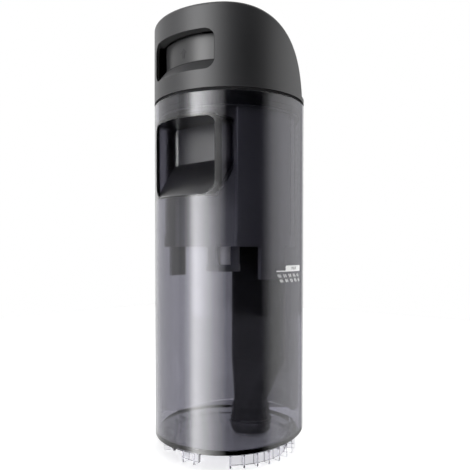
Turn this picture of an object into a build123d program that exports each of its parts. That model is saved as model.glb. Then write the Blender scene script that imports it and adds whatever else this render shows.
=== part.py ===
from build123d import *
import math
import os

# Dirty water tank of a cordless floor washer, in millimetres.
# +Z is up and -Y is the front with the finger grip. The origin is on the tank's axis in the plane
# of the feet.

# Tank shell
RIM_RADIUS = 50.0
BODY_TAPER = 0.7
WALL = 2.2
UNDERSIDE_Z = 7.0
FLOOR_THICKNESS = 3.0
WELD_RISE = 5.2
RIM_Z = 225.0
RIM_EDGE_ROUND = 0.6

# Bowl that rounds the lower edge, more at the back than at the front
BOWL_OVERSIZE = 6.0
BOWL_ROUND = 20.0
BOWL_SHIFT = -4.0

# Finger grip pocket in the front wall
GRIP_DROP = 14.8
GRIP_HEIGHT = 46.9
GRIP_KNEE_DROP = 23.2
GRIP_HALF_WIDTH = 25.0
GRIP_DEPTH = 23.6
GRIP_TOP_CORNER = 5.0
GRIP_BOTTOM_CORNER = 9.0
GRIP_INNER_ROUND = 4.0

# Ribbed foot ring under the base
FOOT_RING_INSET = 10.3
FOOT_RING_WALL = 1.6
FOOT_GAPS = ((-28.0, -10.0), (12.0, 40.0), (150.0, 210.0))
RIB_PITCH = 11.0
RIB_LENGTH = 5.0
RIB_THICKNESS = 1.1
RIB_END_ROOM_DEG = 1.0

# Suction inlet and riser tube
INLET_FROM_BACK = 26.0
INLET_RADIUS = 9.5
INLET_WALL = 1.8
SPIGOT_RISE = 12.0
PAD_RADIUS = 15.2
PAD_RISE = 1.6
RISER_DROP = 19.0
RISER_WALL = 1.5
RISER_SOCKET_DEPTH = 9.0
RISER_SOCKET_WALL = 1.8
RISER_MOUTH_SLOPE = 35.0
DUCT_SPREAD = 10.0
DUCT_FROM_BACK = 17.4
DUCT_LEAN_HEIGHT = 26.0
SOCKET_CLEARANCE = 0.15
RISER_SEAL_THICKNESS = 1.5
RISER_SEAL_WIDTH = 3.0
INLET_GASKET_WIDTH = 2.4
INLET_GASKET_HEIGHT = 5.0
GASKET_CLEARANCE = 0.1

# Lid seal and lid base
SEAL_FLANGE = 1.6
SEAL_INSET = 1.6
SEAL_CLEARANCE = 0.3
SEAL_SLEEVE = 1.1
SEAL_BEAD = 0.5
SEAL_BEAD_HEIGHT = 1.6
SEAL_SLEEVE_HEIGHT = 8.0
DECK_THICKNESS = 2.2
PLUG_WALL = 1.8
PLUG_DEPTH = 10.5
PORT_RADIUS = 7.5
PORT_Y = -6.0

# Cap with a flat front top and a quarter-round back
CAP_HEIGHT = 50.4
CAP_WALL = 2.2
CAP_FLANGE = 2.8
CAP_FLAT_LENGTH = 9.0
CAP_ARC_RADIUS = 60.6
CAP_EDGE_ROUND = 2.0

# Window in the cap and the sloped sill under it
WINDOW_DROP = 15.3
WINDOW_HEIGHT = 24.2
WINDOW_HALF_WIDTH = 25.0
WINDOW_CORNER = 6.0
SILL_RISE = 7.5
SILL_THICKNESS = 2.0
SILL_MARGIN_DEG = 3.0

# Release button, a rocker on a steel pin
BUTTON_SET_BACK = 6.4
BUTTON_WALL = 2.2
BUTTON_HALF_WIDTH = 20.5
BUTTON_FOOT_RISE = 5.5
BUTTON_HEAD_ROOM = 0.7
BUTTON_EDGE_ROUND = 0.7
BUTTON_GAP = 0.5
PIVOT_DEPTH = 25.0
PIVOT_DROP = 10.5
PIVOT_BOSS_RADIUS = 3.4
PIN_RADIUS = 1.5
PIN_CLEARANCE = 0.05
ARM_INNER_X = 8.5
ARM_THICKNESS = 2.5
LUG_GAP = 0.5
LUG_THICKNESS = 2.5
HOOK_DEPTH = 10.5
HOOK_THICKNESS = 3.5
HOOK_RISE = 2.5
HOOK_BEVEL = 1.6
HOOK_HALF_WIDTH = 8.5
SLOT_FRONT_ROOM = 3.6
SLOT_BACK_ROOM = 1.6
SLOT_SIDE_ROOM = 0.6

# Button spring and the post that it pushes on
SPRING_RISE = 6.0
SPRING_RADIUS = 3.0
SPRING_WIRE = 0.35
SPRING_TURNS = 5
POST_DEPTH = 21.5
POST_THICKNESS = 2.2
POST_HALF_WIDTH = 6.5
POST_HEAD = 5.0

# Air filter in the quarter-round back of the cap
FILTER_SLOPE = 40.0
FILTER_WIDTH = 54.0
FILTER_HEIGHT = 29.0
FILTER_DEPTH = 13.0
FILTER_RECESS = 3.5
FILTER_CORNER = 5.0
FILTER_WALL = 1.8
FILTER_CLEARANCE = 0.4
FILTER_BAR = 1.6
FILTER_BARS = 7
WELL_WALL = 1.6
WELL_LIP = 1.6
SEAL_RIB_WIDTH = 1.6
SEAL_RIB_HEIGHT = 1.2
MEDIA_PLEATS = 11
MEDIA_HEIGHT = 7.4
MEDIA_SHEET = 0.9
MEDIA_MARGIN = 1.0
GRID_THICKNESS = 1.4
TAB_WIDTH = 14.0
TAB_LENGTH = 2.4
TAB_THICKNESS = 3.0

# Separator that hangs from the lid base
SKIRT_CLEARANCE = 0.2
SKIRT_WALL = 1.6
SKIRT_LENGTH = 92.3
BAND_HEIGHT = 8.1
BAND_STEP = 0.6
SKIRT_ROUND = 1.5
SKIRT_INNER_ROUND = 0.5
GRIP_ROOM = 2.0
RISER_ROOM = 2.4
LEG_LENGTH = 20.0
LEG_WIDTH = 18.0
LEG_Y = -9.0

# Float valve
FLOAT_RADIUS = 9.0
FLOAT_WALL = 1.2
FLOAT_DROP = 107.0
FLOAT_HEIGHT = 30.0
STEM_RADIUS = 2.5
STEM_CLEARANCE = 0.3
FLOAT_TRAVEL = 9.0
VALVE_PAD_RADIUS = 9.0
VALVE_PAD_THICKNESS = 2.0
VALVE_GAP = 0.2
CAGE_CLEARANCE = 0.7
CAGE_WALL = 1.5
CAGE_LIP = 3.0
CAGE_SLOTS = 4
CAGE_SLOT_WIDTH = 8.0
CAGE_GUIDE_GAP = 1.5

# Lid screws
SCREW_INSET = 14.0
SCREW_FRONT_Y = -12.0
SCREW_BACK_Y = 11.0
SCREW_RADIUS = 1.45
SCREW_HEAD_RADIUS = 2.9
SCREW_HEAD_HEIGHT = 1.9
SCREW_LENGTH = 10.0
SCREW_CLEARANCE = 0.05
SCREW_CROSS = 0.8
SCREW_CROSS_LENGTH = 3.8
BOSS_RADIUS = 3.4

# Length by which a cut runs past the face that it opens
PAST = 1.0

# Heights and radii of the tank that follow from those above
FOOT_RADIUS = RIM_RADIUS - BODY_TAPER
FLOOR_Z = UNDERSIDE_Z + FLOOR_THICKNESS
WELD_Z = UNDERSIDE_Z + WELD_RISE
BOWL_RADIUS = RIM_RADIUS + BOWL_OVERSIZE
MOUTH_RADIUS = RIM_RADIUS - WALL
GRIP_TOP = RIM_Z - GRIP_DROP
GRIP_BOTTOM = GRIP_TOP - GRIP_HEIGHT
GRIP_KNEE_Z = GRIP_TOP - GRIP_KNEE_DROP
GRIP_BACK_Y = GRIP_DEPTH - RIM_RADIUS
FOOT_RING_RADIUS = FOOT_RADIUS - FOOT_RING_INSET
INLET_Y = RIM_RADIUS - INLET_FROM_BACK
DUCT_Y = RIM_RADIUS - DUCT_FROM_BACK
SPIGOT_RADIUS = INLET_RADIUS + INLET_WALL
PAD_Z = FLOOR_Z + PAD_RISE
RISER_TOP_Z = RIM_Z - RISER_DROP
SOCKET_Z = PAD_Z + RISER_SEAL_THICKNESS
SOCKET_RADIUS = SPIGOT_RADIUS + SOCKET_CLEARANCE

# Heights and radii of the lid and of what hangs from it
LID_Z = RIM_Z + SEAL_FLANGE
DECK_Z = LID_Z - DECK_THICKNESS
PLUG_RADIUS = MOUTH_RADIUS - SEAL_CLEARANCE - SEAL_BEAD - SEAL_SLEEVE
BAND_RADIUS = PLUG_RADIUS - PLUG_WALL - SKIRT_CLEARANCE
SKIRT_RADIUS = BAND_RADIUS - BAND_STEP
SKIRT_BOTTOM = RIM_Z - SKIRT_LENGTH
LEG_BOTTOM = SKIRT_BOTTOM - LEG_LENGTH
FLOAT_BOTTOM = RIM_Z - FLOAT_DROP
CAGE_RADIUS = FLOAT_RADIUS + CAGE_CLEARANCE
CAP_TOP_Z = LID_Z + CAP_HEIGHT
CAP_FLAT_END_Y = CAP_FLAT_LENGTH - RIM_RADIUS
SCREW_X = RIM_RADIUS - SCREW_INSET
SCREW_PLACES = [(x, y) for y in (SCREW_FRONT_Y, SCREW_BACK_Y) for x in (SCREW_X, -SCREW_X)]

# Places of the button and its window
WINDOW_TOP = CAP_TOP_Z - WINDOW_DROP
WINDOW_BOTTOM = WINDOW_TOP - WINDOW_HEIGHT
SILL_INNER_Z = WINDOW_BOTTOM + SILL_RISE
BUTTON_RADIUS = RIM_RADIUS - BUTTON_SET_BACK
BUTTON_BOTTOM = WINDOW_BOTTOM + BUTTON_FOOT_RISE
BUTTON_TOP = WINDOW_TOP - BUTTON_HEAD_ROOM
PIVOT_Y = PIVOT_DEPTH - RIM_RADIUS
PIVOT_Z = CAP_TOP_Z - PIVOT_DROP
HOOK_FRONT_Y = HOOK_DEPTH - RIM_RADIUS
POST_FRONT_Y = POST_DEPTH - RIM_RADIUS
SPRING_Z = BUTTON_BOTTOM + SPRING_RISE
POST_TOP = SPRING_Z + POST_HEAD
ARM_OUTER_X = ARM_INNER_X + ARM_THICKNESS
LUG_INNER_X = ARM_OUTER_X + LUG_GAP
LUG_OUTER_X = LUG_INNER_X + LUG_THICKNESS
FAR = 3 * RIM_RADIUS


def column(radius, bottom, top, x=0.0, y=0.0):
    """Upright cylinder between two heights."""
    return Pos(x, y, (bottom + top) / 2) * Cylinder(radius, top - bottom)


def tube(inner, outer, bottom, top, x=0.0, y=0.0):
    """Upright ring between two heights."""
    return column(outer, bottom, top, x, y) - column(inner, bottom, top, x, y)


def block(x_low, x_high, y_low, y_high, z_low, z_high):
    """Box between two corners."""
    middle = Pos((x_low + x_high) / 2, (y_low + y_high) / 2, (z_low + z_high) / 2)
    return middle * Box(x_high - x_low, y_high - y_low, z_high - z_low)


def side_prism(points, half_width):
    """Outline in the YZ plane, drawn out to both sides along X."""
    outline = make_face(Polyline(*points, close=True))
    return extrude(Plane.YZ * outline, half_width, both=True)


def side_disc(radius, x_low, x_high, y, z):
    """Cylinder that lies along X."""
    return Pos((x_low + x_high) / 2, y, z) * Rot(0, 90, 0) * Cylinder(radius, x_high - x_low)


def sector(start_deg, end_deg, bottom, top):
    """Wedge about the axis, with angles from the front towards +X."""
    steps = 6
    points = [(0.0, 0.0)]
    for step in range(steps + 1):
        angle = math.radians(start_deg + (end_deg - start_deg) * step / steps)
        points.append((FAR * math.sin(angle), -FAR * math.cos(angle)))
    outline = make_face(Polyline(*points, close=True))
    return Pos(0, 0, bottom) * extrude(outline, top - bottom)


def tank_form(inset, floor_z, top):
    """Tapered round form of the tank with its rounded lower edge, set in by the wall."""
    slope = (RIM_RADIUS - FOOT_RADIUS) / (RIM_Z - UNDERSIDE_Z)
    low = FOOT_RADIUS + slope * (floor_z - UNDERSIDE_Z) - inset
    high = FOOT_RADIUS + slope * (top - UNDERSIDE_Z) - inset
    cone = Pos(0, 0, (floor_z + top) / 2) * Cone(low, high, top - floor_z)
    bowl = column(BOWL_RADIUS - inset, floor_z, top + PAST, 0.0, BOWL_SHIFT)
    bowl = fillet(bowl.edges().sort_by(Axis.Z)[0], BOWL_ROUND - inset)
    return cone & bowl


def grip_form(grow):
    """Space of the finger grip with its scooped ramp, grown by the wall for its outside."""
    slope = (GRIP_KNEE_Z - GRIP_BOTTOM) / (GRIP_BACK_Y + RIM_RADIUS)
    back = GRIP_BACK_Y + grow
    top = GRIP_TOP + grow
    half = GRIP_HALF_WIDTH + grow
    drop = grow * math.hypot(1.0, slope)
    knee = GRIP_KNEE_Z + slope * grow - drop
    bottom = GRIP_BOTTOM - drop
    front = -RIM_RADIUS - GRIP_HALF_WIDTH
    edge_y = -math.sqrt(RIM_RADIUS**2 - half**2)
    sides = [(half, edge_y), (half, front), (-half, front), (-half, edge_y)]
    scoop = make_face([Polyline(*sides), ThreePointArc(sides[-1], (0, -RIM_RADIUS), sides[0])])
    level = make_face(Polyline((half, back), *sides[1:3], (-half, back), close=True))
    space = loft([Pos(0, 0, bottom) * scoop, Pos(0, 0, knee) * level], ruled=True)
    space += block(-half, half, front, back, knee, top)
    upright = space.edges().filter_by(Axis.Z).filter_by(lambda edge: edge.center().Y > edge_y)
    space = fillet(upright, GRIP_INNER_ROUND + grow)
    outline = Pos(0, (top + bottom) / 2) * Rectangle(2 * half, top - bottom)
    outline = fillet(outline.vertices().group_by(Axis.Y)[0], GRIP_BOTTOM_CORNER + grow)
    outline = fillet(outline.vertices().group_by(Axis.Y)[-1], GRIP_TOP_CORNER + grow)
    return space & extrude(Plane.XZ * outline, FAR, both=True)


def make_tank_body():
    """Smoked sleeve with the finger grip moulded into its front wall."""
    outer = tank_form(0.0, UNDERSIDE_Z, RIM_Z)
    outer = fillet(outer.edges().group_by(Axis.Z)[-1], RIM_EDGE_ROUND)
    inner = tank_form(WALL, FLOOR_Z, RIM_Z + PAST)
    sleeve = outer - inner
    sleeve += grip_form(WALL) & outer
    sleeve -= grip_form(0.0)
    return sleeve - block(-FAR, FAR, -FAR, FAR, 0.0, WELD_Z)


def foot_ring():
    """Foot ring with gaps, and the short ribs around its outside."""
    top = UNDERSIDE_Z + FLOOR_THICKNESS / 2
    ring = tube(FOOT_RING_RADIUS - FOOT_RING_WALL, FOOT_RING_RADIUS, 0.0, top)
    for start, end in FOOT_GAPS:
        ring -= sector(start, end, -PAST, top + PAST)
    rib_start = FOOT_RING_RADIUS - FOOT_RING_WALL / 2
    rib_end = FOOT_RING_RADIUS + RIB_LENGTH
    rib = block(-RIB_THICKNESS / 2, RIB_THICKNESS / 2, -rib_end, -rib_start, 0.0, top)
    room = RIB_END_ROOM_DEG
    rib_gaps = [(start - room, end + room) for start, end in FOOT_GAPS]
    for number in range(int(360.0 / RIB_PITCH)):
        angle = FOOT_GAPS[1][1] + room + number * RIB_PITCH
        turned = (angle + 90.0) % 360.0 - 90.0
        clear = all(turned <= start or turned >= end for start, end in rib_gaps)
        if clear:
            ring += Rot(0, 0, angle) * rib
    return ring


def make_tank_base():
    """Clear welded base with the floor, the ribbed foot ring and the suction inlet."""
    tray = tank_form(0.0, UNDERSIDE_Z, RIM_Z) - tank_form(WALL, FLOOR_Z, RIM_Z)
    tray &= block(-FAR, FAR, -FAR, FAR, 0.0, WELD_Z)
    tray += foot_ring()
    tray += column(PAD_RADIUS, UNDERSIDE_Z + FLOOR_THICKNESS / 2, PAD_Z, 0.0, INLET_Y)
    tray += column(SPIGOT_RADIUS, 0.0, PAD_Z + SPIGOT_RISE, 0.0, INLET_Y)
    return tray - column(INLET_RADIUS, -PAST, PAD_Z + SPIGOT_RISE + PAST, 0.0, INLET_Y)


def duct_form(inset, bottom, top):
    """Oval duct that leans back from the round inlet and widens, set in by its wall."""
    depth = 2 * (SPIGOT_RADIUS - inset)
    lean_top = bottom + DUCT_LEAN_HEIGHT
    foot = Pos(0, INLET_Y, bottom) * SlotCenterToCenter(PAST, depth)
    head = Pos(0, DUCT_Y, lean_top) * SlotCenterToCenter(2 * DUCT_SPREAD, depth)
    return loft([foot, head], ruled=True) + extrude(head, top - lean_top)


def make_riser_tube():
    """Dark duct that leads the dirty water from the inlet up to the lid."""
    socket_outer = SOCKET_RADIUS + RISER_SOCKET_WALL
    socket_top = SOCKET_Z + RISER_SOCKET_DEPTH
    shoulder = socket_outer - SPIGOT_RADIUS
    neck_top = socket_top + 2 * shoulder
    riser = column(SPIGOT_RADIUS, SOCKET_Z, neck_top, 0.0, INLET_Y)
    riser += column(socket_outer, SOCKET_Z, socket_top, 0.0, INLET_Y)
    riser += Pos(0, INLET_Y, socket_top + shoulder) * Cone(socket_outer, SPIGOT_RADIUS, 2 * shoulder)
    riser += duct_form(0.0, neck_top, RISER_TOP_Z)
    riser -= column(SPIGOT_RADIUS - RISER_WALL, SOCKET_Z - PAST, neck_top, 0.0, INLET_Y)
    riser -= duct_form(RISER_WALL, neck_top, RISER_TOP_Z + PAST)
    spigot_room = PAD_Z + SPIGOT_RISE + SEAL_CLEARANCE
    riser -= column(SOCKET_RADIUS, SOCKET_Z - PAST, spigot_room, 0.0, INLET_Y)
    drop = 2 * SPIGOT_RADIUS * math.tan(math.radians(RISER_MOUTH_SLOPE))
    front = DUCT_Y - SPIGOT_RADIUS
    back = DUCT_Y + SPIGOT_RADIUS
    mouth = [(front, RISER_TOP_Z - drop), (back, RISER_TOP_Z), (front, RISER_TOP_Z)]
    return riser - side_prism(mouth, DUCT_SPREAD + SPIGOT_RADIUS)


def make_riser_seal():
    """Rubber ring under the foot of the riser tube."""
    inner = SPIGOT_RADIUS + GASKET_CLEARANCE
    return tube(inner, inner + RISER_SEAL_WIDTH, PAD_Z, SOCKET_Z, 0.0, INLET_Y)


def make_inlet_gasket():
    """Rubber ring around the inlet under the floor."""
    inner = SPIGOT_RADIUS + GASKET_CLEARANCE
    low = UNDERSIDE_Z - INLET_GASKET_HEIGHT
    ring = tube(inner, inner + INLET_GASKET_WIDTH, low, UNDERSIDE_Z, 0.0, INLET_Y)
    edge = ring.edges().filter_by(GeomType.CIRCLE).group_by(Axis.Z)[0].sort_by(SortBy.RADIUS)[-1]
    return chamfer(edge, INLET_GASKET_WIDTH / 3)


def cap_profile(inset):
    """Side outline of the cap, flat in front and a quarter round behind, set in by the wall."""
    radius = CAP_ARC_RADIUS - inset
    centre_z = CAP_TOP_Z - CAP_ARC_RADIUS
    bottom = LID_Z - PAST
    end_y = CAP_FLAT_END_Y + math.sqrt(radius**2 - (bottom - centre_z) ** 2)
    half = math.sqrt(0.5) * radius
    start = (CAP_FLAT_END_Y, centre_z + radius)
    middle = (CAP_FLAT_END_Y + half, centre_z + half)
    arc = ThreePointArc(start, middle, (end_y, bottom))
    lines = Polyline((end_y, bottom), (-FAR, bottom), (-FAR, centre_z + radius), start)
    return extrude(Plane.YZ * make_face([arc, lines]), FAR, both=True)


def cap_dome(inset, bottom):
    """Upper form of the cap, set in by the wall."""
    return column(RIM_RADIUS - inset, bottom, CAP_TOP_Z) & cap_profile(inset)


def filter_plane(depth):
    """Plane of the filter in the quarter-round back, at a depth under the surface."""
    angle = math.radians(FILTER_SLOPE)
    out = (0.0, math.cos(angle), math.sin(angle))
    reach = CAP_ARC_RADIUS - depth
    centre_z = CAP_TOP_Z - CAP_ARC_RADIUS
    origin = (0.0, CAP_FLAT_END_Y + reach * out[1], centre_z + reach * out[2])
    return Plane(origin=origin, x_dir=(1, 0, 0), z_dir=out)


def filter_block(grow, near, far, corner):
    """Rounded block in the filter's plane, between two depths under the cap's surface."""
    outline = RectangleRounded(FILTER_WIDTH + 2 * grow, FILTER_HEIGHT + 2 * grow, corner)
    return extrude(filter_plane(far) * outline, far - near)


def button_window():
    """Rounded window in the front of the cap."""
    height = WINDOW_TOP - WINDOW_BOTTOM
    outline = RectangleRounded(2 * WINDOW_HALF_WIDTH, height, WINDOW_CORNER)
    middle = Pos(0, (WINDOW_TOP + WINDOW_BOTTOM) / 2)
    depth = RIM_RADIUS - math.sqrt(RIM_RADIUS**2 - WINDOW_HALF_WIDTH**2) + 2 * CAP_WALL
    return Pos(0, -RIM_RADIUS, 0) * extrude(Plane.XZ * middle * outline, depth, both=True)


def window_surround():
    """Sloped sill and ceiling behind the edges of the window."""
    inner = BUTTON_RADIUS + BUTTON_GAP
    low = WINDOW_BOTTOM - SILL_THICKNESS
    high = SILL_INNER_Z - SILL_THICKNESS
    sill = [(inner, high), (RIM_RADIUS, low), (RIM_RADIUS, WINDOW_BOTTOM), (inner, SILL_INNER_Z)]
    ring = revolve(Plane.XZ * make_face(Polyline(*sill, close=True)), Axis.Z, 360)
    roof_top = WINDOW_TOP + SILL_THICKNESS
    ring += tube(inner, RIM_RADIUS - CAP_WALL / 2, WINDOW_TOP, roof_top)
    half = math.degrees(math.asin(WINDOW_HALF_WIDTH / RIM_RADIUS)) + SILL_MARGIN_DEG
    return ring & sector(-half, half, low, roof_top)


def pin_lugs():
    """Two lugs under the roof of the cap that hold the button's pin."""
    lugs = []
    for side in (-1, 1):
        middle = side * (LUG_INNER_X + LUG_OUTER_X) / 2
        low = middle - LUG_THICKNESS / 2
        high = middle + LUG_THICKNESS / 2
        lug = side_disc(PIVOT_BOSS_RADIUS, low, high, PIVOT_Y, PIVOT_Z)
        near = PIVOT_Y - PIVOT_BOSS_RADIUS
        lug += block(low, high, near, PIVOT_Y + PIVOT_BOSS_RADIUS, PIVOT_Z, CAP_TOP_Z)
        lugs.append(lug)
    return lugs


def make_lid_cap():
    """Dark cap with the button window, the filter well and the hook slot."""
    flange_top = LID_Z + CAP_FLANGE
    dome = cap_dome(0.0, flange_top)
    crown = dome.edges().filter_by(lambda edge: edge.center().Z > flange_top + CAP_EDGE_ROUND)
    dome = fillet(crown.filter_by(GeomType.LINE, reverse=True), CAP_EDGE_ROUND)
    solid = dome + column(RIM_RADIUS, LID_Z, flange_top)
    cap = solid - cap_dome(CAP_WALL, LID_Z)
    inside = window_surround()
    for lug in pin_lugs():
        inside += lug
    for x, y in SCREW_PLACES:
        inside += column(BOSS_RADIUS, LID_Z, CAP_TOP_Z, x, y)
    well_far = FILTER_RECESS + FILTER_DEPTH + WELL_LIP
    corner = FILTER_CORNER + FILTER_CLEARANCE
    inside += filter_block(FILTER_CLEARANCE + WELL_WALL, -FILTER_RECESS, well_far, corner + WELL_WALL)
    cap += inside & solid
    cap -= button_window() - window_surround()
    seat = FILTER_RECESS + FILTER_DEPTH
    cap -= filter_block(FILTER_CLEARANCE, -FILTER_DEPTH, seat, corner)
    cap -= filter_block(-WELL_LIP, 0.0, well_far + PAST, FILTER_CORNER - WELL_LIP)
    slot_low = HOOK_FRONT_Y - SLOT_FRONT_ROOM
    slot_high = HOOK_FRONT_Y + HOOK_THICKNESS + SLOT_BACK_ROOM
    slot_half = HOOK_HALF_WIDTH + SLOT_SIDE_ROOM
    cap -= block(-slot_half, slot_half, slot_low, slot_high, PIVOT_Z, CAP_TOP_Z + PAST)
    cap -= side_disc(PIN_RADIUS + PIN_CLEARANCE, -LUG_OUTER_X, LUG_OUTER_X, PIVOT_Y, PIVOT_Z)
    for x, y in SCREW_PLACES:
        hole_top = DECK_Z + SCREW_LENGTH + PAST
        cap -= column(SCREW_RADIUS + SCREW_CLEARANCE, LID_Z - PAST, hole_top, x, y)
    return cap


def make_lid_base():
    """Plate and plug that close the tank, with the air port and the spring post."""
    base = column(PLUG_RADIUS, DECK_Z, LID_Z)
    base += tube(PLUG_RADIUS - PLUG_WALL, PLUG_RADIUS, LID_Z - PLUG_DEPTH, LID_Z)
    post_back = POST_FRONT_Y + POST_THICKNESS
    base += block(-POST_HALF_WIDTH, POST_HALF_WIDTH, POST_FRONT_Y, post_back, DECK_Z, POST_TOP)
    base -= column(PORT_RADIUS, DECK_Z - PAST, LID_Z + PAST, 0.0, PORT_Y)
    for x, y in SCREW_PLACES:
        base -= column(SCREW_RADIUS + SCREW_CLEARANCE, DECK_Z - PAST, LID_Z + PAST, x, y)
    return base


def make_lid_seal():
    """Rubber seal with a flange on the rim and two beads in the mouth."""
    sleeve_radius = PLUG_RADIUS + SEAL_SLEEVE
    bead_radius = sleeve_radius + SEAL_BEAD
    sleeve_low = RIM_Z - SEAL_SLEEVE_HEIGHT
    seal = tube(PLUG_RADIUS, RIM_RADIUS - SEAL_INSET, RIM_Z, LID_Z)
    seal += tube(PLUG_RADIUS, sleeve_radius, sleeve_low, RIM_Z)
    for low in (sleeve_low, sleeve_low + 2 * SEAL_BEAD_HEIGHT):
        seal += tube(PLUG_RADIUS, bead_radius, low, low + SEAL_BEAD_HEIGHT)
    return seal


def skirt_form(radius, inset, corner, bottom, top):
    """Round form with notches for the grip pocket in front and the riser tube behind."""
    form = column(radius, bottom, top)
    front = GRIP_BACK_Y + WALL + GRIP_ROOM + inset
    half = GRIP_HALF_WIDTH + WALL + GRIP_ROOM + inset
    form -= block(-half, half, -FAR, front, bottom, top)
    back = DUCT_Y - SPIGOT_RADIUS - RISER_ROOM - inset
    half = DUCT_SPREAD + SPIGOT_RADIUS + RISER_ROOM + inset
    form -= block(-half, half, back, FAR, bottom, top)
    upright = form.edges().filter_by(Axis.Z).filter_by(lambda edge: abs(edge.center().Y) > SKIRT_ROUND)
    return fillet(upright, corner)


def make_separator():
    """Dark skirt around the float, with a stiff lower band and two side legs."""
    band_top = SKIRT_BOTTOM + BAND_HEIGHT
    skirt = skirt_form(SKIRT_RADIUS, 0.0, SKIRT_ROUND, SKIRT_BOTTOM, DECK_Z)
    skirt += skirt_form(BAND_RADIUS, 0.0, SKIRT_ROUND, SKIRT_BOTTOM, band_top)
    inner_radius = SKIRT_RADIUS - SKIRT_WALL
    low = SKIRT_BOTTOM - PAST
    skirt -= skirt_form(inner_radius, SKIRT_WALL, SKIRT_INNER_ROUND, low, DECK_Z + PAST)
    leg = tube(inner_radius, BAND_RADIUS, LEG_BOTTOM, band_top)
    leg &= block(-FAR, FAR, LEG_Y - LEG_WIDTH / 2, LEG_Y + LEG_WIDTH / 2, LEG_BOTTOM, RIM_Z)
    return skirt + leg


def make_float_cage():
    """Slotted tube that guides the float and its stem under the air port."""
    outer = CAGE_RADIUS + CAGE_WALL
    lip_bottom = FLOAT_BOTTOM - CAGE_WALL
    guide_z = FLOAT_BOTTOM + FLOAT_HEIGHT + FLOAT_TRAVEL + CAGE_GUIDE_GAP
    guide_top = guide_z + CAGE_WALL
    cage = tube(CAGE_RADIUS, outer, lip_bottom, DECK_Z, 0.0, PORT_Y)
    cage += tube(CAGE_RADIUS - CAGE_LIP, outer, lip_bottom, FLOAT_BOTTOM, 0.0, PORT_Y)
    cage += tube(STEM_RADIUS + STEM_CLEARANCE, outer, guide_z, guide_top, 0.0, PORT_Y)
    slot_half = CAGE_SLOT_WIDTH / 2
    lower = (FLOAT_BOTTOM + 2 * CAGE_WALL, guide_z - 2 * CAGE_WALL)
    upper = (guide_top + 2 * CAGE_WALL, DECK_Z - 2 * CAGE_WALL)
    for low, high in (lower, upper):
        slot = block(0.0, 2 * outer, -slot_half, slot_half, low, high)
        for number in range(CAGE_SLOTS):
            turned = Rot(0, 0, (number + 0.5) * 360.0 / CAGE_SLOTS) * slot
            cage -= Pos(0, PORT_Y, 0) * turned
    return cage


def make_float():
    """Open-bottomed float cup with a long stem and a plate for the valve pad."""
    top = FLOAT_BOTTOM + FLOAT_HEIGHT
    pad_z = DECK_Z - VALVE_GAP - FLOAT_TRAVEL - VALVE_PAD_THICKNESS
    cup = column(FLOAT_RADIUS, FLOAT_BOTTOM, top, 0.0, PORT_Y)
    cup -= column(FLOAT_RADIUS - FLOAT_WALL, FLOAT_BOTTOM - PAST, top - FLOAT_WALL, 0.0, PORT_Y)
    cup += column(STEM_RADIUS, top - FLOAT_WALL, pad_z, 0.0, PORT_Y)
    plate_radius = VALVE_PAD_RADIUS - FLOAT_WALL
    return cup + column(plate_radius, pad_z - FLOAT_WALL, pad_z, 0.0, PORT_Y)


def make_valve_pad():
    """Rubber disc on the float's stem that shuts the air port."""
    top = DECK_Z - VALVE_GAP - FLOAT_TRAVEL
    pad = column(VALVE_PAD_RADIUS, top - VALVE_PAD_THICKNESS, top, 0.0, PORT_Y)
    return chamfer(pad.edges().sort_by(Axis.Z)[-1], VALVE_PAD_THICKNESS / 4)


def make_lid_screws():
    """Four cross-head screws that hold the cap on the lid base."""
    screws = []
    head_low = DECK_Z - SCREW_HEAD_HEIGHT
    for x, y in SCREW_PLACES:
        screw = column(SCREW_RADIUS, DECK_Z, DECK_Z + SCREW_LENGTH, x, y)
        screw += column(SCREW_HEAD_RADIUS, head_low, DECK_Z, x, y)
        cut_top = head_low + SCREW_HEAD_HEIGHT / 2
        long_half = SCREW_CROSS_LENGTH / 2
        thin_half = SCREW_CROSS / 2
        screw -= block(x - long_half, x + long_half, y - thin_half, y + thin_half, 0.0, cut_top)
        screw -= block(x - thin_half, x + thin_half, y - long_half, y + long_half, 0.0, cut_top)
        screws.append(screw)
    return Compound(children=screws)


def make_button_pin():
    """Steel pin that the release button rocks on."""
    return side_disc(PIN_RADIUS, -LUG_OUTER_X, LUG_OUTER_X, PIVOT_Y, PIVOT_Z)


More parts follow.
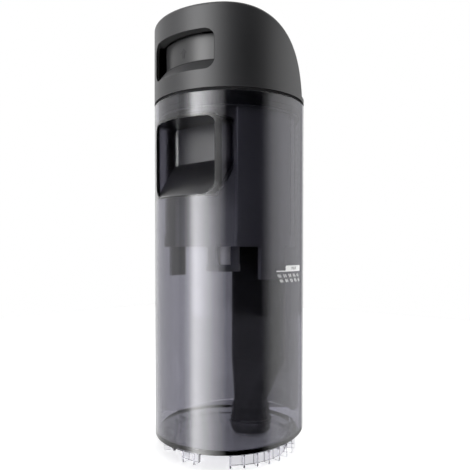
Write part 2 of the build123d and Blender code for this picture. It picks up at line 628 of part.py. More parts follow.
def make_release_button():
    """Curved push panel with two arms to the pin and a hook through the cap's top."""
    inner = BUTTON_RADIUS - BUTTON_WALL
    panel = tube(inner, BUTTON_RADIUS, BUTTON_BOTTOM, BUTTON_TOP)
    panel &= block(-BUTTON_HALF_WIDTH, BUTTON_HALF_WIDTH, -FAR, 0.0, BUTTON_BOTTOM, BUTTON_TOP)
    rim = panel.edges().filter_by(GeomType.CIRCLE).sort_by(SortBy.RADIUS)[-2:]
    panel = fillet(rim, BUTTON_EDGE_ROUND)
    arm_front = -math.sqrt(inner**2 - ARM_OUTER_X**2) - BUTTON_WALL / 2
    arm = [
        (arm_front, BUTTON_TOP - 3 * PIVOT_BOSS_RADIUS),
        (PIVOT_Y + PIVOT_BOSS_RADIUS, PIVOT_Z),
        (PIVOT_Y, PIVOT_Z + PIVOT_BOSS_RADIUS),
        (HOOK_FRONT_Y, PIVOT_Z + PIVOT_BOSS_RADIUS),
        (HOOK_FRONT_Y, BUTTON_TOP),
        (arm_front, BUTTON_TOP),
    ]
    both = side_prism(arm, ARM_OUTER_X)
    both += side_disc(PIVOT_BOSS_RADIUS, -ARM_OUTER_X, ARM_OUTER_X, PIVOT_Y, PIVOT_Z)
    inner_back = HOOK_FRONT_Y + HOOK_THICKNESS
    both -= block(-ARM_INNER_X, ARM_INNER_X, inner_back, 0.0, 0.0, FAR * 2)
    both -= block(-ARM_INNER_X, ARM_INNER_X, -FAR, 0.0, 0.0, BUTTON_TOP)
    hook_top = CAP_TOP_Z + HOOK_RISE
    hook = [
        (HOOK_FRONT_Y, BUTTON_TOP),
        (HOOK_FRONT_Y, hook_top),
        (inner_back - HOOK_BEVEL, hook_top),
        (inner_back, hook_top - HOOK_BEVEL),
        (inner_back, BUTTON_TOP),
    ]
    button = panel + both + side_prism(hook, HOOK_HALF_WIDTH)
    bore = PIN_RADIUS + PIN_CLEARANCE
    return button - side_disc(bore, -ARM_OUTER_X, ARM_OUTER_X, PIVOT_Y, PIVOT_Z)


def make_button_spring():
    """Steel coil spring between the post and the back of the button."""
    start = -(BUTTON_RADIUS - BUTTON_WALL) + SPRING_WIRE
    length = POST_FRONT_Y - SPRING_WIRE - start
    path = Helix(length / SPRING_TURNS, length, SPRING_RADIUS - SPRING_WIRE)
    coil = sweep((path ^ 0) * RegularPolygon(SPRING_WIRE, 6), path=path, is_frenet=True)
    return Pos(0, start, SPRING_Z) * Rot(-90, 0, 0) * coil


def make_filter_frame():
    """Filter frame with an open grille in its outer face and a pull tab."""
    near = FILTER_RECESS
    far = FILTER_RECESS + FILTER_DEPTH - GRID_THICKNESS
    frame = filter_block(0.0, near, far, FILTER_CORNER)
    room_corner = FILTER_CORNER - FILTER_WALL
    room = filter_block(-FILTER_WALL, near + FILTER_BAR, far + PAST, room_corner)
    rim = FILTER_WALL + SEAL_RIB_WIDTH
    opening = filter_block(-rim, near - PAST, far + PAST, FILTER_CORNER - rim)
    bars = None
    pitch = (FILTER_WIDTH - 2 * rim) / (FILTER_BARS + 1)
    for number in range(FILTER_BARS):
        x = (number + 1) * pitch - (FILTER_WIDTH / 2 - rim)
        outline = Pos(x, 0) * Rectangle(FILTER_BAR, FILTER_HEIGHT - rim)
        bar = extrude(filter_plane(near + FILTER_BAR) * outline, FILTER_BAR)
        bars = bar if bars is None else bars + bar
    outline = Rectangle(TAB_WIDTH, TAB_THICKNESS)
    tab = extrude(filter_plane(near + FILTER_BAR) * outline, FILTER_BAR + TAB_LENGTH)
    return (frame - room - opening) + bars + tab


def make_filter_seal():
    """Rubber rib around the outer face of the filter."""
    near = FILTER_RECESS - SEAL_RIB_HEIGHT
    inset = FILTER_WALL / 2
    outer = filter_block(-inset, near, FILTER_RECESS, FILTER_CORNER - inset)
    inset += SEAL_RIB_WIDTH
    return outer - filter_block(-inset, near - PAST, FILTER_RECESS + PAST, FILTER_CORNER - inset)


def make_filter_media():
    """Pleated filter sheet inside the frame."""
    half = FILTER_WIDTH / 2 - FILTER_WALL - MEDIA_MARGIN
    folds = 2 * MEDIA_PLEATS
    path = []
    for fold in range(folds + 1):
        x = -half + 2 * half * fold / folds
        path.append((x, MEDIA_HEIGHT if fold % 2 else 0.0))
    upper = [(x, height + 2 * MEDIA_SHEET) for x, height in reversed(path)]
    depth = FILTER_RECESS + FILTER_DEPTH - GRID_THICKNESS - FILTER_CLEARANCE
    sheet = make_face(Polyline(*path, *upper, close=True))
    width = FILTER_HEIGHT - 2 * (FILTER_WALL + MEDIA_MARGIN)
    return filter_plane(depth) * extrude(Plane.XZ * sheet, width / 2, both=True)


def make_filter_grid():
    """Open grid that holds the pleats from behind."""
    far = FILTER_RECESS + FILTER_DEPTH
    grid = filter_block(0.0, far - GRID_THICKNESS, far, FILTER_CORNER)
    rim = FILTER_WALL + SEAL_RIB_WIDTH
    opening = filter_block(-rim, far - 2 * GRID_THICKNESS, far + PAST, FILTER_CORNER - rim)
    cross = extrude(filter_plane(far) * Rectangle(FILTER_BAR, FILTER_HEIGHT - rim), GRID_THICKNESS)
    cross += extrude(filter_plane(far) * Rectangle(FILTER_WIDTH - rim, FILTER_BAR), GRID_THICKNESS)
    return (grid - opening) + cross


PARTS = {
    "tank_body": make_tank_body,
    "tank_base": make_tank_base,
    "riser_tube": make_riser_tube,
    "riser_seal": make_riser_seal,
    "inlet_gasket": make_inlet_gasket,
    "lid_cap": make_lid_cap,
    "lid_base": make_lid_base,
    "lid_seal": make_lid_seal,
    "separator": make_separator,
    "float_cage": make_float_cage,
    "float_cup": make_float,
    "valve_pad": make_valve_pad,
    "lid_screws": make_lid_screws,
    "button_pin": make_button_pin,
    "release_button": make_release_button,
    "button_spring": make_button_spring,
    "filter_frame": make_filter_frame,
    "filter_seal": make_filter_seal,
    "filter_media": make_filter_media,
    "filter_grid": make_filter_grid,
}

os.makedirs("parts", exist_ok=True)
for name, make in PARTS.items():
    export_step(make(), f"parts/{name}.step")
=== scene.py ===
import math

import bmesh
import bpy
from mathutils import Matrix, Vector


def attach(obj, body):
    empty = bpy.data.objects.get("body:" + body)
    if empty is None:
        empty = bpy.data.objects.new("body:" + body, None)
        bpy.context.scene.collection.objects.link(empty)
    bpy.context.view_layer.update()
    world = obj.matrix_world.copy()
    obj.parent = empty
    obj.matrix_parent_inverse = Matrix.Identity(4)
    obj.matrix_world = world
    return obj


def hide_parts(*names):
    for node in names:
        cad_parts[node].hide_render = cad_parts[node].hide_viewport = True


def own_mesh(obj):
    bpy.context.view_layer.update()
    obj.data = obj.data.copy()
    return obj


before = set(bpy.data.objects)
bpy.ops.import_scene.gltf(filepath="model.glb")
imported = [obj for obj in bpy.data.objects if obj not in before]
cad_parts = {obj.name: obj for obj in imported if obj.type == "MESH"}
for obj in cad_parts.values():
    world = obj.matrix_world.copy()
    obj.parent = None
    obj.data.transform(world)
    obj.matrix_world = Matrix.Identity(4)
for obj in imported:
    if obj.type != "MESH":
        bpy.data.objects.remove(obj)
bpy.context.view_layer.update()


# The base is the moulded floor of the tank with the ribbed foot ring and the inlet spigot. It is clear
# styrene plastic with a light smoke tint, and its upper edge is welded to the sleeve.
class Shade:
    """A value in a material. Arithmetic on it adds Math nodes, and node() adds any other node."""

    def __init__(self, tree, socket=None):
        self.tree = tree
        self.socket = socket

    def node(self, kind, settings=None, sockets=None, out=0):
        made = self.tree.nodes.new("ShaderNode" + kind)
        for name, value in (settings or {}).items():
            if name == "stops":
                while len(made.color_ramp.elements) < len(value):
                    made.color_ramp.elements.new(1.0)
                for stop, (place, grey) in zip(made.color_ramp.elements, value):
                    stop.position = place
                    stop.color = (grey, grey, grey, 1.0)
            else:
                setattr(made, name, value)
        for name, value in (sockets or {}).items():
            if isinstance(value, Shade):
                self.tree.links.new(value.socket, made.inputs[name])
            else:
                made.inputs[name].default_value = value
        return Shade(self.tree, made.outputs[out])

    def maths(self, operation, first, second):
        return self.node("Math", {"operation": operation}, {0: first, 1: second})

    def __add__(self, other):
        return self.maths("ADD", self, other)

    def __sub__(self, other):
        return self.maths("SUBTRACT", self, other)

    def __mul__(self, other):
        return self.maths("MULTIPLY", self, other)

    def __truediv__(self, other):
        return self.maths("DIVIDE", self, other)

    def __lt__(self, other):
        return self.maths("LESS_THAN", self, other)

    def __gt__(self, other):
        return self.maths("GREATER_THAN", self, other)

    def __rsub__(self, other):
        return self.maths("SUBTRACT", other, self)

    def __rtruediv__(self, other):
        return self.maths("DIVIDE", other, self)

    __radd__ = __add__
    __rmul__ = __mul__

    def blend(self, low, high):
        """Colour between low where this value is 0 and high where it is 1."""
        sockets = {0: self, 6: low, 7: high}
        return self.node("Mix", {"data_type": "RGBA"}, sockets, out=2)

    def spread(self, low, high, new_low, new_high):
        """This value carried from one range to another, held at the ends."""
        sockets = {1: low, 2: high, 3: new_low, 4: new_high}
        return self.node("MapRange", {"clamp": True}, {0: self, **sockets})


def new_finish(name):
    """An empty material, with the shading place of the surface in metres."""
    material = bpy.data.materials.new(name)
    material.use_nodes = True
    material.node_tree.nodes.clear()
    finish = Shade(material.node_tree)
    return material, finish, finish.node("TexCoord", out="Object")


def show(finish, surface, inside=None):
    """Sends a shader, and what fills the body where it is clear, to the material's output."""
    output = finish.tree.nodes.new("ShaderNodeOutputMaterial")
    finish.tree.links.new(surface.socket, output.inputs["Surface"])
    if inside:
        finish.tree.links.new(inside.socket, output.inputs["Volume"])


def wear(node_name, material):
    """Gives a CAD node its material."""
    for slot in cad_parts[node_name].material_slots:
        slot.material = material


def noise(finish, place, scale, detail):
    """Uneven pattern in the shading place, with its scale per metre."""
    return finish.node("TexNoise", None, {"Vector": place, "Scale": scale, "Detail": detail})


SMOKE_COLOUR = (0.06, 0.05, 0.16, 1.0)
LAMP_PASS = (0.95, 0.95, 0.95, 1.0)
PLASTIC_IOR = 1.5
RIPPLE_STRENGTH = 0.25


def clear_moulding(name, tint, roughness, ripple, smoke):
    """Clear plastic that lets lamps through, with a moulded wall's ripple and smoke in its depth."""
    material, finish, place = new_finish(name)
    wave = noise(finish, place, scale=45.0, detail=1.0)
    bump = finish.node("Bump", None, {"Strength": RIPPLE_STRENGTH, "Distance": ripple, "Height": wave})
    sockets = {"Base Color": tint(finish, place), "Roughness": roughness(finish, place)}
    sockets |= {"IOR": PLASTIC_IOR, "Transmission Weight": 1.0, "Normal": bump}
    plastic = finish.node("BsdfPrincipled", None, sockets)
    passing = finish.node("BsdfTransparent", None, {"Color": LAMP_PASS})
    lamp_ray = finish.node("LightPath", out="Is Shadow Ray")
    depth = finish.node("VolumeAbsorption", None, {"Color": SMOKE_COLOUR, "Density": smoke})
    show(finish, finish.node("MixShader", None, {0: lamp_ray, 1: plastic, 2: passing}), depth)
    return material


BASE_SMOKE = 60.0
BASE_RIPPLE = 0.00002
BASE_ROUGHNESS = (0.03, 0.10)
FOOT_TINT = (0.95, 0.95, 0.96, 1.0)
FLOOR_TINT = (0.26, 0.26, 0.28, 1.0)
FLOOR_UNDERSIDE = 0.007
TINT_EDGE = 0.0002


def base_tint(finish, place):
    """Clear foot ring and ribs under the smoke-tinted floor."""
    height = finish.node("SeparateXYZ", None, {0: place}, out="Z")
    tray = height.spread(FLOOR_UNDERSIDE - TINT_EDGE, FLOOR_UNDERSIDE + TINT_EDGE, 0.0, 1.0)
    return tray.blend(FOOT_TINT, FLOOR_TINT)


def base_gloss(finish, place):
    """Bright moulding with a little handling haze."""
    haze = noise(finish, place, scale=60.0, detail=4.0)
    return haze.spread(0.45, 0.75, *BASE_ROUGHNESS)


base_plastic = clear_moulding("light_smoke_plastic", base_tint, base_gloss, BASE_RIPPLE, BASE_SMOKE)
wear("tank_base", base_plastic)


# The tank body is a smoked clear sleeve, injection moulded in one piece with the finger grip. The grip's
# faces have a fine matt texture for hold and are tinted greyer, partly for the texture and partly as
# painted shade in the pocket. The rest of the wall is polished.
BODY_SMOKE = 350.0
BODY_RIPPLE = 0.000015
WALL_TINT = (0.96, 0.96, 0.97, 1.0)
WALL_ROUGHNESS = (0.035, 0.09)
GRIP_LOW = Vector((-0.0253, -0.0498, 0.1625))
GRIP_HIGH = Vector((0.0253, -0.0262, 0.2108))
GRIP_SKIN = 0.0492
# Greyer tint of the grip's faces: partly their matt texture, partly painted shade in the pocket.
GRIP_MATT_AND_SHADE_TINT = (0.27, 0.27, 0.28, 1.0)
GRIP_DULLNESS = 0.24


def within(finish, place, low, high, skin):
    """1 on faces in a box between two corners that lie under the round skin, and 0 elsewhere."""
    spots = [finish.node("SeparateXYZ", None, {0: place}, out=axis) for axis in "XYZ"]
    x, y = spots[:2]
    radius = finish.node("Math", {"operation": "SQRT"}, {0: x * x + y * y})
    mask = radius < skin
    for spot, least, most in zip(spots, low, high):
        mask = mask * (spot > least) * (spot < most)
    return mask


def in_grip(finish, place):
    """1 on the faces of the finger grip and 0 on the polished wall."""
    return within(finish, place, GRIP_LOW, GRIP_HIGH, GRIP_SKIN)


def body_tint(finish, place):
    """Clear plastic, greyer on the grip's faces, partly for their matt texture and partly as painted
    shade in the pocket.
    """
    return in_grip(finish, place).blend(WALL_TINT, GRIP_MATT_AND_SHADE_TINT)


def body_gloss(finish, place):
    """Polished wall with a little haze, and the matt texture of the grip."""
    haze = noise(finish, place, scale=35.0, detail=4.0)
    polished = haze.spread(0.45, 0.8, *WALL_ROUGHNESS)
    return polished + in_grip(finish, place) * GRIP_DULLNESS


body_plastic = clear_moulding("smoked_plastic", body_tint, body_gloss, BODY_RIPPLE, BODY_SMOKE)
wear("tank_body", body_plastic)


# The fill mark is printed in white on the outside of the sleeve: a level line that ends in a tag with
# the word for full, and two rows of small wave signs under it. Angles along the wall are in degrees.
WALL_FOOT_RADIUS = 0.0493
WALL_RIM_RADIUS = 0.0500
WALL_FOOT_Z = 0.007
WALL_RIM_Z = 0.225
WHITE_INK = (0.90, 0.90, 0.90)
GREY_INK = (0.05, 0.05, 0.055)
INK_LIFT = 0.00004
INK_WEAR = 0.82
INK_ROUGHNESS = (0.42, 0.58)
STEPS_PER_DEGREE = 4
LEVEL_Z = 0.1180
LEVEL_START = 75.0
LINE_HEIGHT = 0.0007
TAG_START = 84.0
TAG_END = 104.5
TAG_HEIGHT = 0.0030
TAG_ROUND = 0.0007
TAG_MIDDLE_Z = LEVEL_Z + (TAG_HEIGHT - LINE_HEIGHT) / 2
WAVE_ROWS = (0.1148, 0.1118)
WAVE_STARTS = (76.0, 78.0)
WAVE_COUNT = 5
WAVE_PITCH = 5.6
WAVE_WIDTH = 3.6
WAVE_HEIGHT = 0.0016
WAVE_TURNS = 2
WAVE_HALF_LINE = 0.0005
LETTER_HEIGHT = 0.0019
SIZE_PER_HEIGHT = 1.45


def on_wall(angle, height, lift):
    """Point on the tank's outside, with the angle from the front towards +X in degrees."""
    share = (height - WALL_FOOT_Z) / (WALL_RIM_Z - WALL_FOOT_Z)
    radius = WALL_FOOT_RADIUS + (WALL_RIM_RADIUS - WALL_FOOT_RADIUS) * share + lift
    turn = math.radians(angle)
    return Vector((radius * math.sin(turn), -radius * math.cos(turn), height))


def ink_strip(mesh, start, end, low, high):
    """Printed band between two angles, with its lower and upper edge given along it."""
    steps = max(2, int((end - start) * STEPS_PER_DEGREE))
    before = None
    for step in range(steps + 1):
        share = step / steps
        angle = start + (end - start) * share
        pair = [mesh.verts.new(on_wall(angle, edge(share), INK_LIFT)) for edge in (low, high)]
        if before:
            mesh.faces.new((before[0], pair[0], pair[1], before[1]))
        before = pair


def level_edge(height):
    """Edge of a strip that stays at one height."""
    return lambda share: height


def wave_edge(row, lift):
    """Edge of a wave sign, a little above or below the sign's middle line."""
    return lambda share: row + WAVE_HEIGHT / 2 * math.sin(2 * math.pi * WAVE_TURNS * share) + lift


def tag_top(share):
    """Upper edge of the tag, rounded at both ends."""
    width = math.radians(TAG_END - TAG_START) * WALL_FOOT_RADIUS
    inset = TAG_ROUND - min(share, 1.0 - share) * width
    drop = TAG_ROUND - math.sqrt(TAG_ROUND**2 - max(inset, 0.0) ** 2)
    return LEVEL_Z + TAG_HEIGHT - drop


def printed(name, mesh, material, body):
    """Turns a mesh into a thin piece that rides on a body."""
    data = bpy.data.meshes.new(name)
    mesh.to_mesh(data)
    mesh.free()
    piece = bpy.data.objects.new(name, data)
    bpy.context.scene.collection.objects.link(piece)
    data.materials.append(material)
    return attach(piece, body)


def ink(name, colour):
    """Screen-printed ink with slightly uneven cover."""
    material, finish, place = new_finish(name)
    cover = noise(finish, place, scale=2500.0, detail=2.0)
    worn = tuple(INK_WEAR * part for part in colour)
    tone = cover.spread(0.35, 0.7, 0.0, 1.0).blend((*worn, 1.0), (*colour, 1.0))
    sockets = {"Base Color": tone, "Roughness": cover.spread(0.3, 0.7, *INK_ROUGHNESS)}
    show(finish, finish.node("BsdfPrincipled", None, sockets))
    return material


mark = bmesh.new()
line_foot = level_edge(LEVEL_Z - LINE_HEIGHT)
ink_strip(mark, LEVEL_START, TAG_START, line_foot, level_edge(LEVEL_Z))
ink_strip(mark, TAG_START, TAG_END, line_foot, tag_top)
for row, start in zip(WAVE_ROWS, WAVE_STARTS):
    for number in range(WAVE_COUNT):
        begin = start + number * WAVE_PITCH
        edges = (wave_edge(row, -WAVE_HALF_LINE), wave_edge(row, WAVE_HALF_LINE))
        ink_strip(mark, begin, begin + WAVE_WIDTH, *edges)
fill_mark = printed("fill_mark", mark, ink("white_ink", WHITE_INK), "tank")

letters = bpy.data.curves.new("full_word", "FONT")
letters.body = "MAX"
letters.size = LETTER_HEIGHT * SIZE_PER_HEIGHT
letters.align_x = "CENTER"
letters.align_y = "CENTER"
flat_word = bpy.data.objects.new("full_word_flat", letters)
bpy.context.scene.collection.objects.link(flat_word)
bpy.context.view_layer.update()
word = bmesh.new()
word.from_mesh(bpy.data.meshes.new_from_object(flat_word))
bpy.data.objects.remove(flat_word)
for corner in word.verts:
    angle = (TAG_START + TAG_END) / 2 + math.degrees(corner.co.x / WALL_FOOT_RADIUS)
    corner.co = on_wall(angle, TAG_MIDDLE_Z + corner.co.y, 2 * INK_LIFT)
full_word = printed("full_word", word, ink("grey_ink", GREY_INK), "tank")


# The riser tube, the lid base, the separator, the float's cage and the filter's frame and grid are
# moulded in dark plastic with a satin finish. They plug or snap together, and all but the filter's two
# pieces are seen through the tank wall.
INSERT_GREY = (0.085, 0.085, 0.090)
RISER_BLACK = (0.004, 0.004, 0.0045)
FILTER_BLACK = (0.028, 0.028, 0.030)
TONE_ENDS = (0.92, 1.08)
GLOSS_DRIFT = 0.03
PIT_DULLNESS = 0.04
PIT_STRENGTH = 0.6
RECESS_SHADE_TONE = 0.25
RECESS_DULLNESS = 0.45


def moulded_plastic(name, colour, roughness, grain, grain_size, sheen=0.5, recess=None):
    """Moulded plastic with a spark-eroded grain, tone drift and haze, duller in a recess and painted
    darker there as shade.
    """
    material, finish, place = new_finish(name)
    drift = noise(finish, place, scale=18.0, detail=3.0)
    pits = noise(finish, place, scale=1.0 / grain_size, detail=3.0)
    low, high = [tuple(end * part for part in colour) for end in TONE_ENDS]
    tone = drift.spread(0.3, 0.7, 0.0, 1.0).blend((*low, 1.0), (*high, 1.0))
    gloss = drift.spread(0.3, 0.7, roughness - GLOSS_DRIFT, roughness + GLOSS_DRIFT)
    gloss = gloss + pits * PIT_DULLNESS
    # Painted shade: a recess gets a darker copy of the colour, standing in for the shade that falls in
    # it.
    if recess:
        hollow = recess(finish, place)
        tone = hollow.blend(tone, (*(RECESS_SHADE_TONE * part for part in colour), 1.0))
        gloss = gloss + hollow * RECESS_DULLNESS
    bump = finish.node("Bump", None, {"Strength": PIT_STRENGTH, "Distance": grain, "Height": pits})
    sockets = {"Base Color": tone, "Roughness": gloss, "Normal": bump, "Specular IOR Level": sheen}
    show(finish, finish.node("BsdfPrincipled", None, sockets))
    return material


insert_plastic = moulded_plastic(
    "insert_plastic", INSERT_GREY, roughness=0.40, grain=0.00001, grain_size=0.0005
)
for name in ("lid_base", "separator", "float_cage"):
    wear(name, insert_plastic)
riser_plastic = moulded_plastic(
    "riser_plastic", RISER_BLACK, roughness=0.45, grain=0.00001, grain_size=0.0005, sheen=0.12
)
wear("riser_tube", riser_plastic)
filter_plastic = moulded_plastic(
    "filter_plastic", FILTER_BLACK, roughness=0.45, grain=0.00002, grain_size=0.0005
)
for name in ("filter_frame", "filter_grid"):
    wear(name, filter_plastic)


# The seals are black moulded rubber: a ring under the riser, a gasket on the inlet, the lid's seal with
# its two beads, the valve pad and the rib around the filter. They are pushed or bonded on.
RUBBER_BLACK = (0.011, 0.011, 0.012, 1.0)
RUBBER_BLOOM = (0.028, 0.028, 0.029, 1.0)
RUBBER_ROUGHNESS = (0.62, 0.8)
RUBBER_GRAIN = 0.00003
RUBBER_GRAIN_STRENGTH = 0.4
RUBBER_SHEEN = 0.2


def rubber(name):
    """Matt rubber with a dusty bloom."""
    material, finish, place = new_finish(name)
    bloom = noise(finish, place, scale=220.0, detail=5.0)
    tone = bloom.spread(0.4, 0.75, 0.0, 1.0).blend(RUBBER_BLACK, RUBBER_BLOOM)
    relief = {"Strength": RUBBER_GRAIN_STRENGTH, "Distance": RUBBER_GRAIN, "Height": bloom}
    sockets = {"Base Color": tone, "Normal": finish.node("Bump", None, relief)}
    sockets["Roughness"] = bloom.spread(0.3, 0.7, *RUBBER_ROUGHNESS)
    sockets["Specular IOR Level"] = RUBBER_SHEEN
    show(finish, finish.node("BsdfPrincipled", None, sockets))
    return material


black_rubber = rubber("black_rubber")
for name in ("riser_seal", "inlet_gasket", "lid_seal", "valve_pad", "filter_seal"):
    wear(name, black_rubber)


# The float is a thin white moulding, open at the bottom, with a stem on top for the valve pad. It lies
# loose in its cage and rides up with the water.
FLOAT_WHITE = (0.62, 0.62, 0.60)
float_plastic = moulded_plastic(
    "float_plastic", FLOAT_WHITE, roughness=0.38, grain=0.00001, grain_size=0.0008
)
wear("float_cup", float_plastic)


# The screws, the button's pin and its spring are zinc-plated steel. The spring sits between a post of the
# cap and the back of the button, which squeezes it when it is pressed.
STEEL_DARK = (0.50, 0.50, 0.49, 1.0)
STEEL_BRIGHT = (0.64, 0.64, 0.63, 1.0)
STEEL_ROUGHNESS = (0.24, 0.38)


def plated_steel(name):
    """Plated steel with fine drawing marks."""
    material, finish, place = new_finish(name)
    marks = noise(finish, place, scale=900.0, detail=4.0)
    tone = marks.spread(0.3, 0.7, 0.0, 1.0).blend(STEEL_DARK, STEEL_BRIGHT)
    gloss = marks.spread(0.3, 0.7, *STEEL_ROUGHNESS)
    sockets = {"Base Color": tone, "Metallic": 1.0, "Roughness": gloss}
    show(finish, finish.node("BsdfPrincipled", None, sockets))
    return material


steel = plated_steel("plated_steel")
for name in ("lid_screws", "button_pin", "button_spring"):
    wear(name, steel)

coil = bpy.data.objects.new("spring_coil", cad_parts["button_spring"].data.copy())
bpy.context.scene.collection.objects.link(coil)
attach(coil, "lid")
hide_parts("button_spring")
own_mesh(coil)


# The cap is a thick dark grey moulding with a fine matt grain. Four screws from below hold it on the lid
# base, and its window, filter well and hook slot are cut through it.
CAP_GREY = (0.012, 0.012, 0.013)
WINDOW_LOW = Vector((-0.0262, -0.0500, 0.2440))
WINDOW_HIGH = Vector((0.0262, -0.0300, 0.2624))
WINDOW_SKIN = 0.0492


def in_window(finish, place):
    """1 on the ceiling and the ends of the button's window, where the cap's colour is painted darker as
    shade.
    """
    return within(finish, place, WINDOW_LOW, WINDOW_HIGH, WINDOW_SKIN)


# The window's ceiling and ends get painted shade in their colour, and a duller finish.
cap_plastic = moulded_plastic(
    "cap_plastic",
    CAP_GREY,
    roughness=0.42,
    grain=0.00003,
    grain_size=0.00035,
    sheen=0.40,
    recess=in_window,
)
wear("lid_cap", cap_plastic)


# The release button is a curved satin panel that rocks on its pin. A small arrow is raised on its face
# and points at the hook's side.
BUTTON_GREY = (0.024, 0.024, 0.025)
BUTTON_RADIUS = 0.0436
ARROW_BLACK = (0.010, 0.010, 0.011)
ARROW_MIDDLE_Z = 0.2514
ARROW_LIFT = 0.00012
ARROW = ((0.0, 0.0032), (0.0027, 0.0002), (0.0010, 0.0002), (0.0010, -0.0030))

button_plastic = moulded_plastic(
    "button_plastic", BUTTON_GREY, roughness=0.31, grain=0.00001, grain_size=0.0004, sheen=0.38
)
wear("release_button", button_plastic)

outline = ARROW + tuple((-x, z) for x, z in reversed(ARROW[1:]))
sign = bmesh.new()
rings = []
for radius in (BUTTON_RADIUS - ARROW_LIFT, BUTTON_RADIUS + ARROW_LIFT):
    ring = []
    for x, z in outline:
        turn = x / radius
        spot = (radius * math.sin(turn), -radius * math.cos(turn), ARROW_MIDDLE_Z + z)
        ring.append(sign.verts.new(spot))
    rings.append(ring)
inner, outer = rings
sign.faces.new(outer)
for number in range(len(outline)):
    after = (number + 1) % len(outline)
    sign.faces.new((inner[number], inner[after], outer[after], outer[number]))
bmesh.ops.recalc_face_normals(sign, faces=sign.faces)
arrow_plastic = moulded_plastic(
    "arrow_plastic", ARROW_BLACK, roughness=0.45, grain=0.00001, grain_size=0.0004, sheen=0.30
)
press_arrow = printed("press_arrow", sign, arrow_plastic, "button")


# The filter sheet is white fleece, folded in pleats and bonded in the frame. Its felted fibres give it an
# uneven tone and a soft tooth.
FLEECE_DARK = (0.66, 0.66, 0.63, 1.0)
FLEECE_LIGHT = (0.82, 0.82, 0.80, 1.0)
FLEECE_ROUGHNESS = (0.82, 0.95)
FLEECE_TOOTH = 0.0001
FLEECE_TOOTH_STRENGTH = 0.8


def fleece(name):
    """Felted fibres in an uneven tone."""
    material, finish, place = new_finish(name)
    fibre = noise(finish, place, scale=1600.0, detail=6.0)
    tone = fibre.spread(0.3, 0.7, 0.0, 1.0).blend(FLEECE_DARK, FLEECE_LIGHT)
    relief = {"Strength": FLEECE_TOOTH_STRENGTH, "Distance": FLEECE_TOOTH, "Height": fibre}
    sockets = {"Base Color": tone, "Normal": finish.node("Bump", None, relief)}
    sockets["Roughness"] = fibre.spread(0.3, 0.7, *FLEECE_ROUGHNESS)
    show(finish, finish.node("BsdfPrincipled", None, sockets))
    return material


wear("filter_media", fleece("filter_fleece"))


# The studio is a pale floor in a white room. Softboxes at the left, the left back and the right show in
# the gloss, with a dark card beside the camera between them. A glowing card behind the tank is seen only
# through its clear wall; it is white at the left and fades to grey at the right, as painted shade behind
# the tank's right side. Soft lamps light the matt faces.
VIEW_AZIMUTH = 40.0
CAMERA_DISTANCE = 0.3718
CAMERA_HEIGHT = 0.1312
IMAGE_SIDE = 470
FOCAL_PIXELS = 549.72
AXIS_PIXEL_X = 229.17
HORIZON_PIXEL_Y = 248.92
SENSOR = 36.0
NEAR_CLIP = 0.01
MIDDLE = Vector((0.0, 0.0, 0.14))
WHITE = (1.0, 1.0, 1.0, 1.0)
PAPER_TONES = ((0.88, 0.88, 0.88, 1.0), (0.90, 0.90, 0.90, 1.0))
PAPER_GLOW = 0.50
FLOOR_SIDE = 1.5
FLOOR_Z = -0.0002
ROOM_LIGHT = 0.06
SEEN_RAYS = ("Is Camera Ray", "Is Glossy Ray", "Is Transmission Ray")
SOFTBOX_DISTANCE = 0.8
SOFTBOX_HEIGHT = 2.6
LEFT_GRADE = ((0.0, 0.0), (0.25, 0.30), (0.44, 0.72), (0.56, 1.0), (0.61, 1.0))
LEFT_GRADE += ((0.66, 0.82), (0.73, 0.34), (0.85, 0.12), (1.0, 0.08))
RIGHT_GRADE = ((0.0, 0.15), (0.2, 0.4), (0.34, 0.66), (0.48, 0.86))
RIGHT_GRADE += ((0.62, 1.0), (0.76, 0.78), (0.88, 0.25), (1.0, 0.0))
FLAG_SHADE_GRADE = ((0.0, 1.0), (0.28, 1.0), (0.46, 0.62), (0.62, 0.32), (0.74, 0.22), (1.0, 0.22))
EVEN_LIGHT = ((0.0, 1.0), (1.0, 1.0))
NO_LIGHT = ((0.0, 0.0), (1.0, 0.0))


def around(angle, distance, height):
    """Place around the tank, with the angle from the camera's direction, positive to the right."""
    turn = math.radians(VIEW_AZIMUTH + angle)
    return Vector((distance * math.sin(turn), -distance * math.cos(turn), height))


def panel(name, centre, target, width, height, material):
    """Flat card that faces a target."""
    data = bpy.data.meshes.new(name)
    corners = [(-width / 2, -height / 2, 0), (width / 2, -height / 2, 0)]
    corners += [(width / 2, height / 2, 0), (-width / 2, height / 2, 0)]
    data.from_pydata(corners, [], [(0, 1, 2, 3)])
    data.materials.append(material)
    card = bpy.data.objects.new(name, data)
    card.location = centre
    card.rotation_mode = "QUATERNION"
    card.rotation_quaternion = (target - centre).to_track_quat("Z", "Y")
    bpy.context.scene.collection.objects.link(card)
    return card


def graded_glow(name, width, brightness, stops):
    """Light of a card, graded along the card's own width by stops."""
    material, finish, place = new_finish(name)
    across = finish.node("SeparateXYZ", None, {0: place}, out="X") / width + 0.5
    grade = finish.node("ValToRGB", {"stops": stops}, {0: across})
    show(finish, finish.node("Emission", None, {"Color": grade, "Strength": brightness}))
    material.cycles.emission_sampling = "NONE"
    return material


def softbox(name, start, end, brightness, stops):
    """Card hidden from the camera and matt faces, seen in reflections and through clear walls between two
    angles, graded across by stops from end to start.
    """
    middle = around((start + end) / 2, SOFTBOX_DISTANCE, MIDDLE.z)
    width = 2 * SOFTBOX_DISTANCE * math.tan(math.radians((end - start) / 2))
    glow = graded_glow(name, width, brightness, stops)
    card = panel(name, middle, MIDDLE, width, SOFTBOX_HEIGHT, glow)
    card.visible_camera = False
    card.visible_diffuse = False
    card.visible_shadow = False


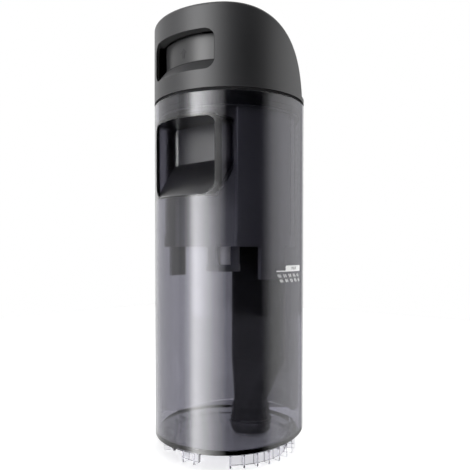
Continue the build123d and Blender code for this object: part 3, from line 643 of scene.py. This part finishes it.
def flag(name, behind, width, height, stops):
    """Glowing card close behind the tank, seen only through the clear wall, graded from left to right as
    painted shade.
    """
    middle = around(180.0, behind, height / 2)
    ahead = around(0.0, 1.0, height / 2)
    card = panel(name, middle, ahead, width, height, graded_glow(name, width, 1.0, stops))
    card.visible_camera = False
    card.visible_diffuse = False
    card.visible_glossy = False
    card.visible_shadow = False


def lamp(name, centre, width, height, power):
    """Soft lamp that faces the tank and lights the matt faces."""
    data = bpy.data.lights.new(name, "AREA")
    data.shape = "RECTANGLE"
    data.size = width
    data.size_y = height
    data.energy = power
    made = bpy.data.objects.new(name, data)
    made.location = centre
    made.rotation_mode = "QUATERNION"
    made.rotation_quaternion = (MIDDLE - centre).to_track_quat("-Z", "Y")
    made.visible_glossy = False
    bpy.context.scene.collection.objects.link(made)


def seen_ray(shade):
    """1 for rays that the camera sees straight, in gloss or through the clear wall."""
    rays = [shade.node("LightPath", out=kind) for kind in SEEN_RAYS]
    return shade.maths("MINIMUM", rays[0] + rays[1] + rays[2], 1.0)


paper, finish, place = new_finish("white_paper")
tone = noise(finish, place, scale=300.0, detail=3.0).blend(*PAPER_TONES)
sheet = finish.node("BsdfDiffuse", None, {"Color": tone})
glow = finish.node("Emission", None, {"Color": WHITE, "Strength": PAPER_GLOW})
lit = finish.node("AddShader", None, {0: sheet, 1: glow})
seen = finish.node("MixShader", None, {0: seen_ray(finish), 1: sheet, 2: lit})
behind = finish.node("NewGeometry", out="Backfacing")
unseen = finish.node("BsdfTransparent")
show(finish, finish.node("MixShader", None, {0: behind, 1: seen, 2: unseen}))
ground, above = Vector((0.0, 0.0, FLOOR_Z)), Vector((0.0, 0.0, 1.0))
floor_card = panel("floor", ground, above, FLOOR_SIDE, FLOOR_SIDE, paper)
floor_card.visible_glossy = False

softbox("left_softbox", start=-78.0, end=-4.0, brightness=11.0, stops=LEFT_GRADE)
softbox("back_softbox", start=-150.0, end=-78.0, brightness=1.35, stops=EVEN_LIGHT)
softbox("dark_card", start=-4.0, end=48.0, brightness=0.0, stops=NO_LIGHT)
softbox("right_softbox", start=48.0, end=146.0, brightness=2.2, stops=RIGHT_GRADE)
# The flag paints shade behind the tank's right side, seen through the clear wall.
flag("shade_flag", behind=0.075, width=0.16, height=0.5, stops=FLAG_SHADE_GRADE)
lamp("key_lamp", around(-62.0, 1.1, 0.35), width=0.8, height=1.2, power=9.5)
lamp("right_lamp", around(106.0, 0.9, 0.30), width=0.6, height=1.2, power=10.0)
lamp("overhead_lamp", Vector((0.0, 0.0, 1.3)), width=1.8, height=1.8, power=14.0)

world = bpy.data.worlds.new("studio")
bpy.context.scene.world = world
world.use_nodes = True
world.node_tree.nodes.clear()
room = Shade(world.node_tree)
level = seen_ray(room).spread(0.0, 1.0, ROOM_LIGHT, 1.0)
air = room.node("Background", None, {"Color": WHITE, "Strength": level})
sky = world.node_tree.nodes.new("ShaderNodeOutputWorld")
world.node_tree.links.new(air.socket, sky.inputs["Surface"])

camera = bpy.data.cameras.new("camera")
camera.sensor_width = SENSOR
camera.lens = SENSOR * FOCAL_PIXELS / IMAGE_SIDE
camera.shift_x = (IMAGE_SIDE / 2 - AXIS_PIXEL_X) / IMAGE_SIDE
camera.shift_y = (HORIZON_PIXEL_Y - IMAGE_SIDE / 2) / IMAGE_SIDE
camera.clip_start = NEAR_CLIP
eye = bpy.data.objects.new("camera", camera)
eye.location = around(0.0, CAMERA_DISTANCE, CAMERA_HEIGHT)
eye.rotation_euler = (math.radians(90.0), 0.0, math.radians(VIEW_AZIMUTH))
bpy.context.scene.collection.objects.link(eye)
bpy.context.scene.camera = eye
bpy.context.scene.view_settings.view_transform = "Standard"
